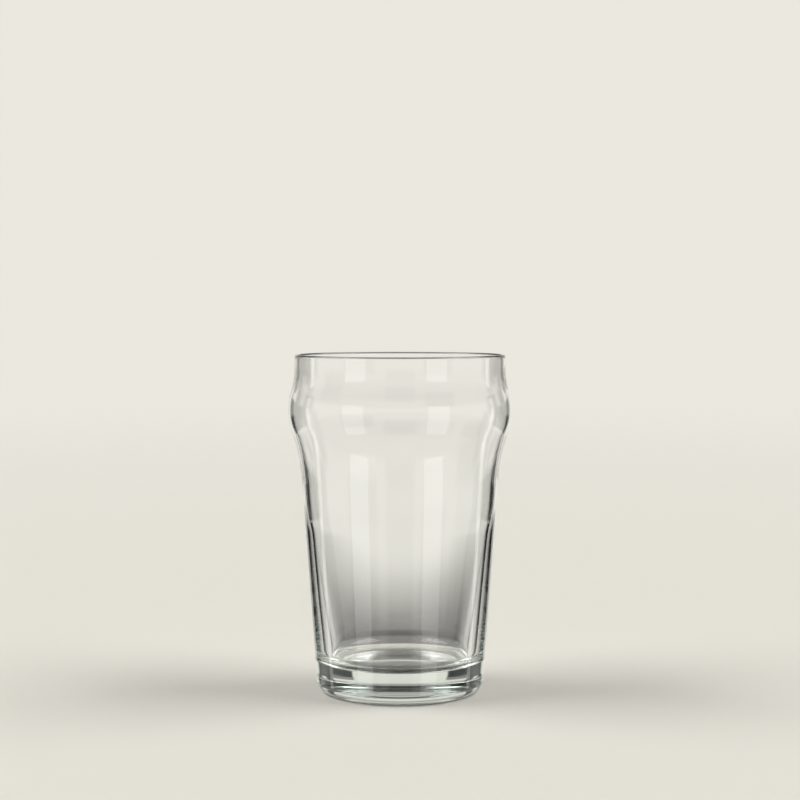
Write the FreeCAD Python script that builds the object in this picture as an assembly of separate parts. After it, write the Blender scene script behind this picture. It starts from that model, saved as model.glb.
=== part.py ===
import FreeCAD, Part
import math
import os

# A pint glass: one piece of clear glass, turned about the Z axis.
# Millimetres. The origin is the centre of the base on the table, +Z is up.

# Outside
HEIGHT = 142.0
FOOT_RADIUS = 34.8            # where the side wall would meet the table
WALL_LEAN = 4.1               # degrees the side wall leans outward
HEEL_RADIUS = 5.0             # rounding between side wall and underside
BULGE_RADIUS = 46.9           # widest part of the glass
BULGE_HEIGHT = 118.5
BULGE_CURVE = 28.5            # radius of the bulge's own curve
SHOULDER_CURVE = 80.0         # hollow curve from side wall to bulge
NECK_CURVE = 34.0             # hollow curve from bulge to rim band
RIM_RADIUS = 44.2

# Inside
RIM_WALL = 1.8
BULGE_WALL = 2.1
SIDE_WALL = 2.6               # below the shoulder, before the wall thickens
THICKENS_BELOW = 74.0         # height where the inside starts to lean more
CAVITY_LEAN = 8.0             # degrees, so the wall thickens towards the base
BLEND_RADIUS = 150.0          # between the two straight parts of the inside wall
FLOOR_HEIGHT = 11.3           # lowest point of the inside floor
FLOOR_CURVE = 260.0           # the floor is a shallow dish
CORNER_RADIUS = 6.0           # between cavity wall and floor

# Underside
HOLLOW_RADIUS = 26.5
HOLLOW_DEPTH = 1.6

FULL_TURN = 360.0
FACING_OUT = 0.0
FACING_UP = math.pi / 2
FACING_IN = math.pi
FACING_DOWN = -math.pi / 2


def point(radius, height):
    """A point of the half outline, drawn in the XZ plane."""
    return FreeCAD.Vector(radius, 0, height)


def polar(centre, radius, angle):
    """The point of a circle that faces the given angle."""
    return centre + point(radius * math.cos(angle), radius * math.sin(angle))


def facing(centre, other):
    """The angle from one circle's centre to another's."""
    return math.atan2(other.z - centre.z, other.x - centre.x)


def arc(centre, radius, start, end):
    """The edge of a circle between two angles."""
    middle = (start + end) / 2
    ends = [polar(centre, radius, angle) for angle in (start, middle, end)]
    return Part.Arc(*ends).toShape()


def line(start, end):
    return Part.LineSegment(start, end).toShape()


def neck_centre(band_radius, neck_curve, bulge_centre, bulge_curve):
    """Centre of the curve that leaves an upright band and meets the bulge."""
    across = band_radius + neck_curve - bulge_centre.x
    reach = neck_curve + bulge_curve
    rise = math.sqrt(reach ** 2 - across ** 2)
    return point(band_radius + neck_curve, bulge_centre.z + rise)


def centre_beside_wall(foot_radius, lean, offset, pivot, reach):
    """The lower centre that is `offset` outside a leaning wall and `reach` from pivot."""
    along = point(math.sin(lean), math.cos(lean))
    outward = point(math.cos(lean), -math.sin(lean))
    start = point(foot_radius, 0) + outward * offset
    gap = start - pivot
    middle = -gap.dot(along)
    half_chord = math.sqrt(middle ** 2 - gap.dot(gap) + reach ** 2)
    return start + along * (middle - half_chord)


def bulge_centre():
    return point(BULGE_RADIUS - BULGE_CURVE, BULGE_HEIGHT)


def shoulder_centre(foot_radius, wall):
    """Centre of the curve between a skin's side wall and its bulge."""
    lean = math.radians(WALL_LEAN)
    curve = SHOULDER_CURVE + wall
    reach = SHOULDER_CURVE + BULGE_CURVE
    return centre_beside_wall(foot_radius, lean, curve, bulge_centre(), reach)


def side_wall_end(foot_radius, wall):
    """Where a skin's side wall meets its shoulder."""
    angle = math.pi - math.radians(WALL_LEAN)
    return polar(shoulder_centre(foot_radius, wall), SHOULDER_CURVE + wall, angle)


def curved_side(foot_radius, band_radius, wall, top):
    """Shoulder, bulge, neck and rim band of one skin, from its side wall up.

    `wall` is how far the skin's bulge lies inside the outer one.
    """
    lean = math.radians(WALL_LEAN)
    bulge = bulge_centre()
    shoulder = shoulder_centre(foot_radius, wall)
    bulge_curve = BULGE_CURVE - wall
    shoulder_curve = SHOULDER_CURVE + wall
    neck_curve = NECK_CURVE + wall
    neck = neck_centre(band_radius, neck_curve, bulge, bulge_curve)
    below = facing(bulge, shoulder)
    above = facing(bulge, neck)
    return [
        arc(shoulder, shoulder_curve, math.pi - lean, math.pi + below),
        arc(bulge, bulge_curve, below, above),
        arc(neck, neck_curve, above - math.pi, -math.pi),
        line(point(band_radius, neck.z), point(band_radius, top)),
    ]


def underside():
    """Shallow round hollow, then the flat ring the glass stands on."""
    sphere = (HOLLOW_RADIUS ** 2 + HOLLOW_DEPTH ** 2) / (2 * HOLLOW_DEPTH)
    centre = point(0, HOLLOW_DEPTH - sphere)
    edge = facing(centre, point(HOLLOW_RADIUS, 0))
    hollow = arc(centre, sphere, FACING_UP, edge)
    ring = line(point(HOLLOW_RADIUS, 0), point(heel_centre().x, 0))
    return [hollow, ring]


def heel_centre():
    lean = math.radians(WALL_LEAN)
    inset = HEEL_RADIUS * (1 - math.sin(lean)) / math.cos(lean)
    return point(FOOT_RADIUS - inset, HEEL_RADIUS)


def outer_skin(rim_height):
    lean = math.radians(WALL_LEAN)
    heel = heel_centre()
    wall_start = polar(heel, HEEL_RADIUS, -lean)
    wall = line(wall_start, side_wall_end(FOOT_RADIUS, 0))
    edges = [arc(heel, HEEL_RADIUS, FACING_DOWN, -lean), wall]
    return edges + curved_side(FOOT_RADIUS, RIM_RADIUS, 0, rim_height)


def rim(rim_height):
    """Fully rounded lip between the outer and the inner skin."""
    half = RIM_WALL / 2
    return [arc(point(RIM_RADIUS - half, rim_height), half, FACING_OUT, FACING_IN)]


def blend_centre(bend, upper_lean, lower_lean):
    """Centre of the arc that rounds off the bend between the two inside walls."""
    middle = (upper_lean + lower_lean) / 2
    distance = BLEND_RADIUS / math.cos((lower_lean - upper_lean) / 2)
    return polar(bend, distance, math.pi - middle)


def inner_skin(rim_height):
    """Dished floor, corner, two straight walls and the curved side, from the axis up."""
    upper_lean = math.radians(WALL_LEAN)
    lower_lean = math.radians(CAVITY_LEAN)
    side_foot = FOOT_RADIUS - SIDE_WALL / math.cos(upper_lean)
    bend = point(side_foot + THICKENS_BELOW * math.tan(upper_lean), THICKENS_BELOW)
    blend = blend_centre(bend, upper_lean, lower_lean)
    wall_foot = bend.x - bend.z * math.tan(lower_lean)
    dish = point(0, FLOOR_HEIGHT + FLOOR_CURVE)
    reach = FLOOR_CURVE - CORNER_RADIUS
    corner = centre_beside_wall(wall_foot, lower_lean, -CORNER_RADIUS, dish, reach)
    floor_edge = facing(dish, corner)
    lower_top = polar(blend, BLEND_RADIUS, -lower_lean)
    upper_foot = polar(blend, BLEND_RADIUS, -upper_lean)
    edges = [
        arc(dish, FLOOR_CURVE, FACING_DOWN, floor_edge),
        arc(corner, CORNER_RADIUS, floor_edge, -lower_lean),
        line(polar(corner, CORNER_RADIUS, -lower_lean), lower_top),
        arc(blend, BLEND_RADIUS, -lower_lean, -upper_lean),
        line(upper_foot, side_wall_end(side_foot, BULGE_WALL)),
    ]
    band_radius = RIM_RADIUS - RIM_WALL
    return edges + curved_side(side_foot, band_radius, BULGE_WALL, rim_height)


def glass_body():
    rim_height = HEIGHT - RIM_WALL / 2
    axis = line(point(0, FLOOR_HEIGHT), point(0, HOLLOW_DEPTH))
    edges = underside() + outer_skin(rim_height) + rim(rim_height)
    edges += inner_skin(rim_height) + [axis]
    outline = Part.Wire(Part.__sortEdges__(edges))
    origin = FreeCAD.Vector(0, 0, 0)
    up = FreeCAD.Vector(0, 0, 1)
    return Part.Face(outline).revolve(origin, up, FULL_TURN)


def write_part(name, shape):
    """Save one solid as STEP, and report what it measures."""
    if shape.ShapeType != "Solid":
        shape = shape.Solids[0]
    if not shape.isValid():
        raise ValueError(name + " is not a valid solid")
    shape.exportStep(os.path.join("parts", name + ".step"))
    print(name, "volume mm3", round(shape.Volume), "box", shape.BoundBox)


os.makedirs("parts", exist_ok=True)
write_part("glass_body", glass_body())
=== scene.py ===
import math
from collections import namedtuple

import bpy
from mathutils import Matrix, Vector, noise


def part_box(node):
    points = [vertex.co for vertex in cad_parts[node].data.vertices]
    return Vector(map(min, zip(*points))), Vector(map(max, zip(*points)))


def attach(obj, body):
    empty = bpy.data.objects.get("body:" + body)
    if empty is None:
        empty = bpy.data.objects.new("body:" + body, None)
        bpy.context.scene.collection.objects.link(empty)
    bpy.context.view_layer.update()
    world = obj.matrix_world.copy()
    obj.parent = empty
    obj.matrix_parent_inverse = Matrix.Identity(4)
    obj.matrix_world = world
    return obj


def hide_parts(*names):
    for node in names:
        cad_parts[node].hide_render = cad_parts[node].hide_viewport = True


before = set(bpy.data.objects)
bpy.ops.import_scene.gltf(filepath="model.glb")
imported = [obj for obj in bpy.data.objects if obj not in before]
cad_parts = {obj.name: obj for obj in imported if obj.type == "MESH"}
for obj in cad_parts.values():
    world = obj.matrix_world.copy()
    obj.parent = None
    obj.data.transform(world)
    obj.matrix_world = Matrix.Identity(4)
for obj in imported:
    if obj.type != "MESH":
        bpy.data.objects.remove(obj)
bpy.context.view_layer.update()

# A clear pint glass on a plain pale floor. Metres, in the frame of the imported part.

FOOT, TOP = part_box("glass_body")

# The outline's own millimetre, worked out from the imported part's height
DESIGN_HEIGHT = 142.0
MM = (TOP.z - FOOT.z) / DESIGN_HEIGHT

# Outline of the glass, in millimetres and degrees
BULGE_RADIUS = TOP.x / MM
RIM_RADIUS = 44.2
FOOT_RADIUS = 34.8            # where the side wall would meet the table
WALL_LEAN = 4.1               # how far the side wall leans outward
HEEL_RADIUS = 5.0             # rounding between side wall and underside
BULGE_HEIGHT = 118.5
BULGE_CURVE = 28.5            # radius of the bulge's own curve
SHOULDER_CURVE = 80.0         # hollow curve from side wall to bulge
NECK_CURVE = 34.0             # hollow curve from bulge to rim band
RIM_WALL = 1.8
BULGE_WALL = 2.1
SIDE_WALL = 2.6               # below the shoulder, before the wall thickens
THICKENS_BELOW = 74.0         # height where the inside starts to lean more
CAVITY_LEAN = 8.0             # so the wall thickens towards the base
BLEND_RADIUS = 150.0          # between the two straight parts of the inside wall
FLOOR_HEIGHT = 11.3           # lowest point of the inside floor
FLOOR_CURVE = 260.0           # the floor is a shallow dish
CORNER_RADIUS = 6.0           # between cavity wall and floor
HOLLOW_RADIUS = 26.5          # hollow in the underside
HOLLOW_DEPTH = 1.6

# Fineness of the turned surface
AROUND = 320                  # facets round the axis
LONGEST_STEP = 1.4            # mm from point to point along the outline
WIDEST_TURN = math.radians(7) # from point to point of a small curve
SAME_POINT = 1e-4             # mm, closer points are one point
ON_AXIS = 1e-6                # mm, closer to the axis is on it

# Unevenness of the inner skin, as hot glass leaves it
WAVE_HEIGHT = 0.05            # mm
WAVE_SCALE = 0.045            # noise cells per mm across the glass
WAVE_UPRIGHT = 0.5            # share of that up the glass, so the waves are longer upright
WAVE_EASE = 12                # rings from the lip down to the waves' full height

# Glass
GLASS_IOR = 1.52
GLASS_TINT = (0.80, 0.865, 0.835)
GLASS_DENSITY = 12.0          # per metre of glass
WHITE = (1, 1, 1)
RUBBED = 0.28                 # roughness of the foot, where it has rubbed on tables
RUBBED_SPAN = (0.15, 0.9)     # mm above the table, where the rubbing fades out
SMUDGE = 0.02                 # roughness of a smudge
SMUDGE_SPAN = (0.55, 0.75)    # noise values between which a smudge starts to show
SMUDGE_SCALE = 60.0           # noise cells per metre
SMUDGE_DETAIL = 5.0
RIPPLE_SCALE = 38.0           # noise cells per metre
RIPPLE_DETAIL = 1.0
RIPPLE_STRENGTH = 0.25
RIPPLE_HEIGHT = 0.0002        # metres

# Camera: an 85 mm lens a little above the rim, in millimetres and degrees
LENS = 85.0
SENSOR = 36.0
CAMERA_DISTANCE = 793.0
CAMERA_HEIGHT = 163.0
CAMERA_TILT = 2.9
CLIP_START = 0.01             # metres

# Turns of a light path that clear glass needs
GLASS_BOUNCES = 32
OTHER_BOUNCES = 16            # mirrored, or straight through

# Tones
PALE = (0.82, 0.805, 0.735)
FLOOR_PAINT = (0.84, 0.825, 0.785)
FLOOR_TONE = (0.64, 0.625, 0.58)
# Floor colour under the glass's foot: a painted contact shadow
UNDERFOOT_SHADOW_PAINT = (0.36, 0.355, 0.345)
SHADE = (0.125, 0.12, 0.117)
DARK = (0.02, 0.022, 0.022)
BOX_TONE = (4.4, 4.34, 4.16)

# Floor and backdrop, in metres
STAGE_DROP = 0.0001           # the floor lies this far below the foot, to share no plane with it
SPOT_MIDDLE = 0.01            # flat middle of the spot that the glass stands on
SPOT_RADIUS = 0.042
FLOOR_RADIUS = 4.0
FLOOR_RINGS = (SPOT_RADIUS, 0.3, 1.2, FLOOR_RADIUS)
WALL_HEIGHT = 5.0
FLOOR_SIDES = 128
CONTACT_SPAN = (29.5, 33.5)   # mm from the axis, where the shadow under the foot fades out
FADE_SPAN = (0.15, 2.6)       # metres from the axis, where the floor takes on the backdrop's tone

# The world, which the glass mirrors and refracts, has patches of tone in given directions.
# All are in degrees: a bearing is taken from straight behind the glass and is positive to
# the right, "aside" is a bearing without its sign, and "lift" is the height above level.
# A span is where one tone gives way to the next.
DEGREE = 180 / math.pi

# Where the backdrop gives way to the floor
LINE_BEHIND = (-15.2, -11.5)  # lift
LINE_BESIDE = (-16, -3)       # lift
LINE_TURNS = (60, 75)         # aside, from the first line to the second
LINE_SINKS = (2, 24)          # aside, where the line behind the glass sinks
SINK_DEPTH = 3.2

# Shaded floor behind the glass
SHADE_SIDES = (12, 26)        # aside
SHADE_THINS = (-28, -18)      # lift
SHADE_THIN = 0.75             # strength below that
SHADE_ENDS = (-60, -45)       # lift

# Wide dark card on each side. Its inner edge slants, through points of (lift, aside).
INNER_EDGE = ((-20, 31), (-12, 27), (-4, 23))
WIDE_END = 66                 # aside
WIDE_LIFT = (-14, 2.5)
CARD_BLUR = 1
THINNER_ABOVE = (-5.5, -4)    # lift, where the card's inner part gets thinner
THINNER = 0.7                 # strength of that part
INNER_PART = (39, 42)         # aside, where the inner part ends

# Fainter card below it
LOW_END = 60                  # aside
LOW_FADES = (34, 43)          # aside
LOW_STARTS = (-33, -24)       # lift
LOW_STOPS = (-15, -13)        # lift

# Patches with straight sides: bearings or asides, then lifts, each with the blur of its edges
Patch = namedtuple("Patch", "left right side_blur low high end_blur")
BARS = (Patch(41, 51, 1, 2, 24, 1.5), Patch(60, 72, 1.5, 2, 24, 1.5))
SIDE_CARD = Patch(-152, -116, 3, -20, -1.5, 2)
BRIGHT_BOXES = Patch(60, 120, 4, 32, 62, 3)

# Softer cards for the views from one side and from behind
RIGHT_CARD = (78, 108)        # bearing
FRONT_CARD = (163, 190)       # aside
REAR_BLUR = 3
REAR_STARTS = (-36, -28)      # lift
REAR_STOPS = (-20, -5)        # lift
REAR_STRENGTH = 0.75

# Dim room behind the camera, upper backdrop and ceiling
ROOM_SIDES = (90, 115)        # aside
ROOM_STARTS = (10, 30)        # lift
DIM_ABOVE = (7, 14)           # lift
DIM_STRENGTH = 0.5
CEILING_ABOVE = (40, 48)      # lift
CEILING_STRENGTH = 0.75

# Soft boxes, in metres, with bearings taken anticlockwise. They reach below the floor's level.
LIGHT_DISTANCE = 0.9
LIGHT_TOP = 0.31
FRONT_BOXES = {"left_box": 132, "right_box": -141}
FRONT_WIDTH = 0.36
FRONT_LOW = -0.40
FRONT_STRENGTH = 1.5
SIDE_BEARING = 73
SIDE_WIDTH = 0.10
SIDE_LOW = -0.30
SIDE_STRENGTH = 1.6


# ---------------------------------------------------------------- outline

OUTER_LEAN = math.radians(WALL_LEAN)
INNER_LEAN = math.radians(CAVITY_LEAN)
BULGE_CENTRE = Vector((BULGE_RADIUS - BULGE_CURVE, BULGE_HEIGHT))
RIM_HEIGHT = DESIGN_HEIGHT - RIM_WALL / 2


def polar(centre, radius, angle):
    """The point of a circle that faces the given angle."""
    return centre + Vector((radius * math.cos(angle), radius * math.sin(angle)))


def facing(centre, other):
    """The angle from one circle's centre to another's."""
    return math.atan2(other.y - centre.y, other.x - centre.x)


def arc(centre, radius, start, end):
    """Points of an arc, close enough together to look smooth."""
    by_length = abs(end - start) * radius / LONGEST_STEP
    by_turn = abs(end - start) / WIDEST_TURN
    steps = max(2, math.ceil(max(by_length, by_turn)))
    return [polar(centre, radius, start + (end - start) * i / steps) for i in range(steps + 1)]


def line(start, end):
    """Points of a straight stretch."""
    steps = max(1, math.ceil((end - start).length / LONGEST_STEP))
    return [start.lerp(end, i / steps) for i in range(steps + 1)]


def neck_centre(band_radius, neck_curve, bulge_curve):
    """Centre of the curve that leaves an upright band and meets the bulge."""
    across = band_radius + neck_curve - BULGE_CENTRE.x
    rise = math.sqrt((neck_curve + bulge_curve) ** 2 - across ** 2)
    return Vector((band_radius + neck_curve, BULGE_CENTRE.y + rise))


def centre_beside_wall(foot_radius, lean, offset, pivot, reach):
    """The lower centre that is `offset` outside a leaning wall and `reach` from pivot."""
    along = Vector((math.sin(lean), math.cos(lean)))
    outward = Vector((math.cos(lean), -math.sin(lean)))
    start = Vector((foot_radius, 0)) + outward * offset
    gap = start - pivot
    middle = -gap.dot(along)
    half_chord = math.sqrt(middle ** 2 - gap.dot(gap) + reach ** 2)
    return start + along * (middle - half_chord)


def shoulder_centre(foot_radius, wall):
    """Centre of the curve between a skin's side wall and its bulge."""
    reach = SHOULDER_CURVE + BULGE_CURVE
    curve = SHOULDER_CURVE + wall
    return centre_beside_wall(foot_radius, OUTER_LEAN, curve, BULGE_CENTRE, reach)


def side_wall_end(foot_radius, wall):
    """Where a skin's side wall meets its shoulder."""
    centre = shoulder_centre(foot_radius, wall)
    return polar(centre, SHOULDER_CURVE + wall, math.pi - OUTER_LEAN)


def curved_side(foot_radius, band_radius, wall):
    """Shoulder, bulge, neck and rim band of one skin, from its side wall up.

    `wall` is how far the skin's bulge lies inside the outer one.
    """
    shoulder = shoulder_centre(foot_radius, wall)
    bulge_curve = BULGE_CURVE - wall
    neck = neck_centre(band_radius, NECK_CURVE + wall, bulge_curve)
    below = facing(BULGE_CENTRE, shoulder)
    above = facing(BULGE_CENTRE, neck)
    points = arc(shoulder, SHOULDER_CURVE + wall, math.pi - OUTER_LEAN, math.pi + below)
    points += arc(BULGE_CENTRE, bulge_curve, below, above)
    points += arc(neck, NECK_CURVE + wall, above - math.pi, -math.pi)
    points += line(Vector((band_radius, neck.y)), Vector((band_radius, RIM_HEIGHT)))
    return points


def heel_centre():
    """Centre of the rounding between the underside and the side wall."""
    inset = HEEL_RADIUS * (1 - math.sin(OUTER_LEAN)) / math.cos(OUTER_LEAN)
    return Vector((FOOT_RADIUS - inset, HEEL_RADIUS))


def underside():
    """Shallow hollow from the axis out, then the flat ring the glass stands on."""
    sphere = (HOLLOW_RADIUS ** 2 + HOLLOW_DEPTH ** 2) / (2 * HOLLOW_DEPTH)
    centre = Vector((0, HOLLOW_DEPTH - sphere))
    edge = facing(centre, Vector((HOLLOW_RADIUS, 0)))
    ring = line(Vector((HOLLOW_RADIUS, 0)), Vector((heel_centre().x, 0)))
    return arc(centre, sphere, math.pi / 2, edge) + ring


def outer_skin():
    """Heel, side wall and curved side, from the table up."""
    heel = heel_centre()
    wall_start = polar(heel, HEEL_RADIUS, -OUTER_LEAN)
    points = arc(heel, HEEL_RADIUS, -math.pi / 2, -OUTER_LEAN)
    points += line(wall_start, side_wall_end(FOOT_RADIUS, 0))
    return points + curved_side(FOOT_RADIUS, RIM_RADIUS, 0)


def lip():
    """Fully rounded lip, from the outer skin over to the inner one."""
    half = RIM_WALL / 2
    return arc(Vector((RIM_RADIUS - half, RIM_HEIGHT)), half, 0, math.pi)


def blend_centre(bend):
    """Centre of the arc that rounds off the bend between the two inside walls."""
    middle = (OUTER_LEAN + INNER_LEAN) / 2
    distance = BLEND_RADIUS / math.cos((INNER_LEAN - OUTER_LEAN) / 2)
    return polar(bend, distance, math.pi - middle)


def inner_skin():
    """Dished floor, corner, two straight walls and the curved side, from the axis up."""
    side_foot = FOOT_RADIUS - SIDE_WALL / math.cos(OUTER_LEAN)
    bend = Vector((side_foot + THICKENS_BELOW * math.tan(OUTER_LEAN), THICKENS_BELOW))
    blend = blend_centre(bend)
    wall_foot = bend.x - bend.y * math.tan(INNER_LEAN)
    dish = Vector((0, FLOOR_HEIGHT + FLOOR_CURVE))
    reach = FLOOR_CURVE - CORNER_RADIUS
    corner = centre_beside_wall(wall_foot, INNER_LEAN, -CORNER_RADIUS, dish, reach)
    floor_edge = facing(dish, corner)
    lower_top = polar(blend, BLEND_RADIUS, -INNER_LEAN)
    upper_foot = polar(blend, BLEND_RADIUS, -OUTER_LEAN)
    points = arc(dish, FLOOR_CURVE, -math.pi / 2, floor_edge)
    points += arc(corner, CORNER_RADIUS, floor_edge, -INNER_LEAN)
    points += line(polar(corner, CORNER_RADIUS, -INNER_LEAN), lower_top)
    points += arc(blend, BLEND_RADIUS, -INNER_LEAN, -OUTER_LEAN)
    points += line(upper_foot, side_wall_end(side_foot, BULGE_WALL))
    return points + curved_side(side_foot, RIM_RADIUS - RIM_WALL, BULGE_WALL)


def without_repeats(points):
    """Drops a point that lies on the one before it, where two curves join."""
    kept = [points[0]]
    for point in points[1:]:
        if (point - kept[-1]).length > SAME_POINT:
            kept.append(point)
    return kept


# ------------------------------------------------------------------ glass

def wave(x, y, z):
    """Height of the inner skin's unevenness at a place, in mm."""
    place = Vector((x, y, z * WAVE_UPRIGHT)) * WAVE_SCALE
    return WAVE_HEIGHT * noise.noise(place)


def turned_ring(point, ease):
    """One point of the outline turned round the axis, in metres, with waves of a given share."""
    if point.x < ON_AXIS:
        return [(0, 0, point.y * MM)]
    verts = []
    for i in range(AROUND):
        angle = 2 * math.pi * i / AROUND
        x = point.x * math.cos(angle)
        y = point.x * math.sin(angle)
        swell = 1 + ease * wave(x, y, point.y) / point.x
        verts.append((x * swell * MM, y * swell * MM, point.y * MM))
    return verts


def band(low, high):
    """Faces between two neighbouring rings, where one may be a single point on the axis."""
    faces = []
    for i in range(AROUND):
        j = (i + 1) % AROUND
        if len(low) == 1:
            faces.append((low[0], high[j], high[i]))
        elif len(high) == 1:
            faces.append((low[i], low[j], high[0]))
        else:
            faces.append((low[i], low[j], high[j], high[i]))
    return faces


def turned_mesh(name, points, inner_from):
    """A closed body of revolution. Points after `inner_from` belong to the inner skin."""
    verts = []
    faces = []
    rings = []
    for number, point in enumerate(points):
        ease = min(1.0, max(0, number - inner_from) / WAVE_EASE)
        ring = turned_ring(point, ease)
        rings.append(range(len(verts), len(verts) + len(ring)))
        verts += ring
    for low, high in zip(rings, rings[1:]):
        faces += band(low, high)
    mesh = bpy.data.meshes.new(name)
    mesh.from_pydata(verts, [], faces)
    mesh.validate()
    mesh.polygons.foreach_set("use_smooth", [True] * len(mesh.polygons))
    return mesh


def make_glass():
    """The whole glass: up the outside, over the lip and down the inside."""
    outside = without_repeats(underside() + outer_skin() + lip())
    inside = without_repeats(inner_skin())
    inside.reverse()
    points = without_repeats(outside + inside)
    mesh = turned_mesh("tumbler", points, len(outside))
    glass = bpy.data.objects.new("tumbler", mesh)
    bpy.context.scene.collection.objects.link(glass)
    glass.data.materials.append(glass_material())
    return glass


# -------------------------------------------------------------- materials

class Graph:
    """Short calls for the nodes of one material or of the world. It starts empty."""

    def __init__(self, tree):
        self.nodes = tree.nodes
        self.links = tree.links
        self.nodes.clear()

    def feed(self, socket, value):
        """Links another node's output to a socket, or sets it to a colour or a number."""
        if isinstance(value, bpy.types.NodeSocket):
            self.links.new(value, socket)
        elif isinstance(value, tuple):
            socket.default_value = (*value, 1)
        else:
            socket.default_value = value

    def node(self, kind, inputs=(), **settings):
        """A new node. Inputs are pairs of a socket's name and what feeds it."""
        node = self.nodes.new(kind)
        for name, value in settings.items():
            setattr(node, name, value)
        for name, value in inputs:
            self.feed(node.inputs[name], value)
        return node

    def fill(self, node, *values):
        """Feeds a node's sockets in their own order."""
        for socket, value in zip(node.inputs, values):
            self.feed(socket, value)

    def maths(self, operation, *values):
        """One step of arithmetic."""
        node = self.node("ShaderNodeMath", operation=operation)
        self.fill(node, *values)
        return node.outputs["Value"]

    def chain(self, operation, values):
        """One operation carried through any number of values."""
        result = values[0]
        for value in values[1:]:
            result = self.maths(operation, result, value)
        return result

    def plus(self, *values):
        return self.chain("ADD", values)

    def times(self, *values):
        return self.chain("MULTIPLY", values)

    def largest(self, *values):
        return self.chain("MAXIMUM", values)

    def ramp(self, value, span, start, end, kind="SMOOTHSTEP"):
        """`start` below the span, `end` above it, and a slope between."""
        node = self.node("ShaderNodeMapRange", [
            ("Value", value),
            ("From Min", span[0]),
            ("From Max", span[1]),
            ("To Min", start),
            ("To Max", end),
        ], interpolation_type=kind)
        return node.outputs["Result"]

    def rise(self, value, span):
        """0 below the span and 1 above it."""
        return self.ramp(value, span, 0, 1)

    def fall(self, value, span):
        """1 below the span and 0 above it."""
        return self.ramp(value, span, 1, 0)

    def between(self, value, low, high, blur):
        """1 between two limits and 0 outside them, with soft edges."""
        above = self.rise(self.maths("SUBTRACT", value, low), (-blur, blur))
        below = self.fall(self.maths("SUBTRACT", value, high), (-blur, blur))
        return self.times(above, below)

    def through(self, value, points):
        """Straight stretches through points of (value, result), level beyond the ends."""
        parts = [points[0][1]]
        for (low, start), (high, end) in zip(points, points[1:]):
            parts.append(self.ramp(value, (low, high), 0, end - start, "LINEAR"))
        return self.plus(*parts)

    def blend(self, factor, first, second):
        """Colour `first` where the factor is 0 and `second` where it is 1."""
        mix = self.node("ShaderNodeMix", [("Factor", factor)], data_type="RGBA")
        colours = [socket for socket in mix.inputs if socket.type == "RGBA"]
        for socket, colour in zip(colours, (first, second)):
            self.feed(socket, colour)
        return next(socket for socket in mix.outputs if socket.type == "RGBA")

    def speckle(self, place, scale, detail):
        """Noise between 0 and 1."""
        inputs = [("Vector", place), ("Scale", scale), ("Detail", detail)]
        return self.node("ShaderNodeTexNoise", inputs).outputs["Fac"]

    def place(self, kind="Object"):
        """Where a point lies: on the object, or in the world as a direction."""
        return self.node("ShaderNodeTexCoord").outputs[kind]


def new_material(name):
    """A material with an empty node tree, and the calls that fill it."""
    material = bpy.data.materials.new(name)
    material.use_nodes = True
    return material, Graph(material.node_tree)


def glass_material():
    """Clear soda-lime glass: grey-green where thick, faintly wavy, rubbed on its foot."""
    material, graph = new_material("clear_glass")
    place = graph.place()
    height = graph.node("ShaderNodeSeparateXYZ", [("Vector", place)]).outputs["Z"]
    rubbed_span = [limit * MM for limit in RUBBED_SPAN]
    rubbed = graph.ramp(height, rubbed_span, RUBBED, 0, "LINEAR")
    film = graph.speckle(place, SMUDGE_SCALE, SMUDGE_DETAIL)
    smudge = graph.ramp(film, SMUDGE_SPAN, 0, SMUDGE, "LINEAR")
    ripple = graph.speckle(place, RIPPLE_SCALE, RIPPLE_DETAIL)
    bump = graph.node("ShaderNodeBump", [
        ("Strength", RIPPLE_STRENGTH),
        ("Distance", RIPPLE_HEIGHT),
        ("Height", ripple),
    ])
    shader = graph.node("ShaderNodeBsdfPrincipled", [
        ("Base Color", WHITE),
        ("IOR", GLASS_IOR),
        ("Transmission Weight", 1.0),
        ("Roughness", graph.largest(rubbed, smudge)),
        ("Normal", bump.outputs["Normal"]),
    ])
    absorb = graph.node("ShaderNodeVolumeAbsorption", [
        ("Color", GLASS_TINT),
        ("Density", GLASS_DENSITY),
    ])
    graph.node("ShaderNodeOutputMaterial", [
        ("Surface", shader.outputs["BSDF"]),
        ("Volume", absorb.outputs["Volume"]),
    ])
    return material


def floor_material():
    """Plain pale matt floor with a painted contact shadow under the glass, in the backdrop's tone
    far from it.
    """
    material, graph = new_material("pale_floor")
    length = graph.node("ShaderNodeVectorMath", operation="LENGTH")
    graph.fill(length, graph.place())
    distance = length.outputs["Value"]
    # 0 under the foot, where the contact shadow is painted into the floor's colour, and 1 beyond it
    beyond_painted_shadow = graph.rise(distance, [limit * MM for limit in CONTACT_SPAN])
    paint = graph.node("ShaderNodeBsdfPrincipled", [
        ("Base Color", graph.blend(beyond_painted_shadow, UNDERFOOT_SHADOW_PAINT, FLOOR_PAINT)),
        ("Roughness", 1.0),
        ("Specular IOR Level", 0.0),
    ])
    glow = graph.node("ShaderNodeEmission", [("Color", PALE)])
    fade = graph.ramp(distance, FADE_SPAN, 0, 1, "SMOOTHERSTEP")
    mix = graph.node("ShaderNodeMixShader")
    graph.fill(mix, fade, paint.outputs["BSDF"], glow.outputs["Emission"])
    graph.node("ShaderNodeOutputMaterial", [("Surface", mix.outputs["Shader"])])
    return material


def backdrop_material():
    """Even pale glow."""
    material, graph = new_material("pale_backdrop")
    glow = graph.node("ShaderNodeEmission", [("Color", PALE)])
    graph.node("ShaderNodeOutputMaterial", [("Surface", glow.outputs["Emission"])])
    return material


# ----------------------------------------------------------------- studio

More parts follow.
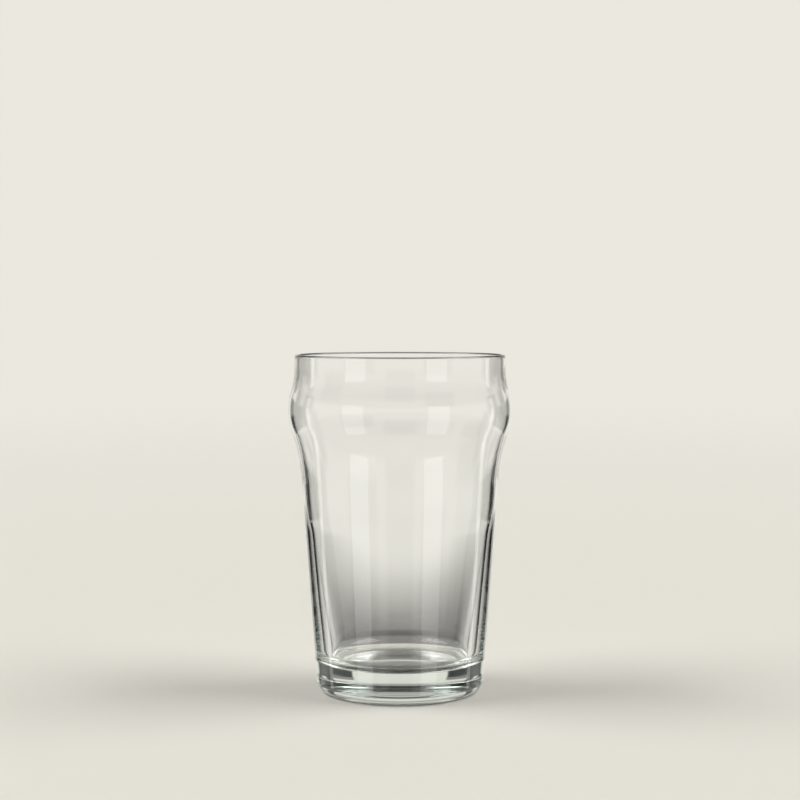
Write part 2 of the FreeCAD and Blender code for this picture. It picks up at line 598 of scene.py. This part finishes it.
def ring_mesh(name, rings, closed):
    """Bands of faces between level rings of (radius, height), closed by a face inside the first."""
    verts = []
    faces = []
    for radius, height in rings:
        for i in range(FLOOR_SIDES):
            angle = 2 * math.pi * i / FLOOR_SIDES
            verts.append((radius * math.cos(angle), radius * math.sin(angle), height))
    for ring in range(len(rings) - 1):
        low = ring * FLOOR_SIDES
        high = low + FLOOR_SIDES
        for i in range(FLOOR_SIDES):
            j = (i + 1) % FLOOR_SIDES
            faces.append((low + i, high + i, high + j, low + j))
    if closed:
        faces.append(tuple(range(FLOOR_SIDES)))
    mesh = bpy.data.meshes.new(name)
    mesh.from_pydata(verts, [], faces)
    return mesh


def add_stage(name, rings, material, closed=False):
    """A piece of the studio, set a hair below the glass's foot."""
    piece = bpy.data.objects.new(name, ring_mesh(name, rings, closed))
    piece.location.z = FOOT.z - STAGE_DROP
    piece.data.materials.append(material)
    bpy.context.scene.collection.objects.link(piece)
    return piece


def make_floor():
    """The spot the glass stands on, the floor round it and the backdrop.

    The glass mirrors and refracts the spot and the world, not the outer floor and the
    backdrop: the world's dark cards then draw its edges while every view stays plain.
    """
    floor = floor_material()
    add_stage("floor_spot", [(SPOT_MIDDLE, 0), (SPOT_RADIUS, 0)], floor, closed=True)
    outer = add_stage("floor", [(radius, 0) for radius in FLOOR_RINGS], floor)
    wall_rings = [(FLOOR_RADIUS, 0), (FLOOR_RADIUS, WALL_HEIGHT)]
    wall = add_stage("backdrop", wall_rings, backdrop_material())
    for piece in (outer, wall):
        piece.visible_transmission = False
        piece.visible_glossy = False
    wall.visible_diffuse = False
    wall.visible_shadow = False


def directions(graph):
    """Bearing from straight behind the glass and height above level, in degrees."""
    place = graph.place("Generated")
    split = graph.node("ShaderNodeSeparateXYZ", [("Vector", place)])
    turn = graph.maths("ARCTAN2", split.outputs["X"], split.outputs["Y"])
    rise = graph.maths("ARCSINE", split.outputs["Z"])
    return graph.times(turn, DEGREE), graph.times(rise, DEGREE)


def patch(graph, across, lift, spot):
    """1 inside a patch with straight sides and 0 outside it."""
    sides = graph.between(across, spot.left, spot.right, spot.side_blur)
    ends = graph.between(lift, spot.low, spot.high, spot.end_blur)
    return graph.times(sides, ends)


def surround(graph, aside, lift):
    """Pale backdrop, floor tone below it, and a shaded floor close behind the glass."""
    sunk = graph.plus(lift, graph.ramp(aside, LINE_SINKS, 0, SINK_DEPTH))
    behind = graph.fall(sunk, LINE_BEHIND)
    beside = graph.fall(lift, LINE_BESIDE)
    turned = graph.rise(aside, LINE_TURNS)
    straight = graph.maths("SUBTRACT", 1, turned)
    below = graph.plus(graph.times(behind, straight), graph.times(beside, turned))
    tone = graph.blend(below, PALE, FLOOR_TONE)
    sides = graph.fall(aside, SHADE_SIDES)
    thinning = graph.ramp(lift, SHADE_THINS, SHADE_THIN, 1)
    end = graph.rise(lift, SHADE_ENDS)
    return graph.blend(graph.times(behind, sides, thinning, end), tone, SHADE)


def edge_cards(graph, aside, lift):
    """Dark cards on both sides, which draw the edges of the glass and the ends of its base."""
    start = graph.through(lift, INNER_EDGE)
    thinning = graph.ramp(lift, THINNER_ABOVE, 1, THINNER)
    wide = graph.times(
        graph.between(aside, start, WIDE_END, CARD_BLUR),
        graph.between(lift, *WIDE_LIFT, CARD_BLUR),
        graph.largest(thinning, graph.rise(aside, INNER_PART)),
    )
    low = graph.times(
        graph.between(aside, start, LOW_END, CARD_BLUR),
        graph.fall(aside, LOW_FADES),
        graph.rise(lift, LOW_STARTS),
        graph.fall(lift, LOW_STOPS),
    )
    bars = [patch(graph, aside, lift, bar) for bar in BARS]
    return graph.largest(wide, low, *bars)


def rear_cards(graph, bearing, aside, lift):
    """Softer cards for the views from one side and from behind."""
    side = patch(graph, bearing, lift, SIDE_CARD)
    right = graph.between(bearing, *RIGHT_CARD, REAR_BLUR)
    front = graph.between(aside, *FRONT_CARD, REAR_BLUR)
    start = graph.rise(lift, REAR_STARTS)
    stop = graph.fall(lift, REAR_STOPS)
    rear = graph.times(graph.largest(right, front), start, stop)
    return graph.times(graph.largest(side, rear), REAR_STRENGTH)


def dim_room(graph, aside, lift):
    """Unlit room behind the camera, the backdrop's dimmer upper part and a grey ceiling."""
    room = graph.times(graph.rise(aside, ROOM_SIDES), graph.rise(lift, ROOM_STARTS))
    upper = graph.ramp(lift, DIM_ABOVE, 0, DIM_STRENGTH)
    ceiling = graph.ramp(lift, CEILING_ABOVE, 0, CEILING_STRENGTH)
    return graph.largest(room, upper, ceiling)


def make_world():
    """The surround that the glass mirrors and refracts."""
    world = bpy.data.worlds.new("studio")
    bpy.context.scene.world = world
    world.use_nodes = True
    graph = Graph(world.node_tree)
    bearing, lift = directions(graph)
    aside = graph.maths("ABSOLUTE", bearing)
    dark = graph.largest(
        edge_cards(graph, aside, lift),
        rear_cards(graph, bearing, aside, lift),
        dim_room(graph, aside, lift),
    )
    tone = graph.blend(dark, surround(graph, aside, lift), DARK)
    boxes = patch(graph, aside, lift, BRIGHT_BOXES)
    back = graph.node("ShaderNodeBackground", [("Color", graph.blend(boxes, tone, BOX_TONE))])
    graph.node("ShaderNodeOutputWorld", [("Surface", back.outputs["Background"])])


def soft_light(name, bearing, width, low, strength):
    """An upright soft box that faces the glass and only shows as a reflection in it."""
    height = LIGHT_TOP - low
    light = bpy.data.lights.new(name, "AREA")
    light.shape = "RECTANGLE"
    light.size = width
    light.size_y = height
    light.energy = strength * width * height * math.pi
    lamp = bpy.data.objects.new(name, light)
    turn = math.radians(bearing)
    middle = (low + LIGHT_TOP) / 2
    lamp.location = (-LIGHT_DISTANCE * math.sin(turn), LIGHT_DISTANCE * math.cos(turn), middle)
    aim = Vector((0, 0, middle)) - lamp.location
    lamp.rotation_euler = aim.to_track_quat("-Z", "Y").to_euler()
    lamp.visible_transmission = False
    lamp.visible_diffuse = False
    bpy.context.scene.collection.objects.link(lamp)


def make_lights():
    """Two wide boxes in front and two narrow ones beside."""
    for name, bearing in FRONT_BOXES.items():
        soft_light(name, bearing, FRONT_WIDTH, FRONT_LOW, FRONT_STRENGTH)
    for side in (-1, 1):
        soft_light("side_box", side * SIDE_BEARING, SIDE_WIDTH, SIDE_LOW, SIDE_STRENGTH)


def make_camera():
    """Looks at the glass from the front, from a little above its rim."""
    camera = bpy.data.cameras.new("camera")
    camera.lens = LENS
    camera.sensor_width = SENSOR
    camera.clip_start = CLIP_START
    holder = bpy.data.objects.new("camera", camera)
    holder.location = (0, -CAMERA_DISTANCE * MM, FOOT.z + CAMERA_HEIGHT * MM)
    holder.rotation_euler = (math.radians(90 - CAMERA_TILT), 0, 0)
    bpy.context.scene.collection.objects.link(holder)
    bpy.context.scene.camera = holder


def set_look():
    """Plain tone response, and enough bounces for light to get through the glass."""
    scene = bpy.context.scene
    scene.view_settings.view_transform = "Standard"
    scene.cycles.max_bounces = GLASS_BOUNCES
    scene.cycles.transmission_bounces = GLASS_BOUNCES
    scene.cycles.glossy_bounces = OTHER_BOUNCES
    scene.cycles.transparent_max_bounces = OTHER_BOUNCES


glass = make_glass()
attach(glass, "root")
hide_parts("glass_body")
make_floor()
make_world()
make_lights()
make_camera()
set_look()
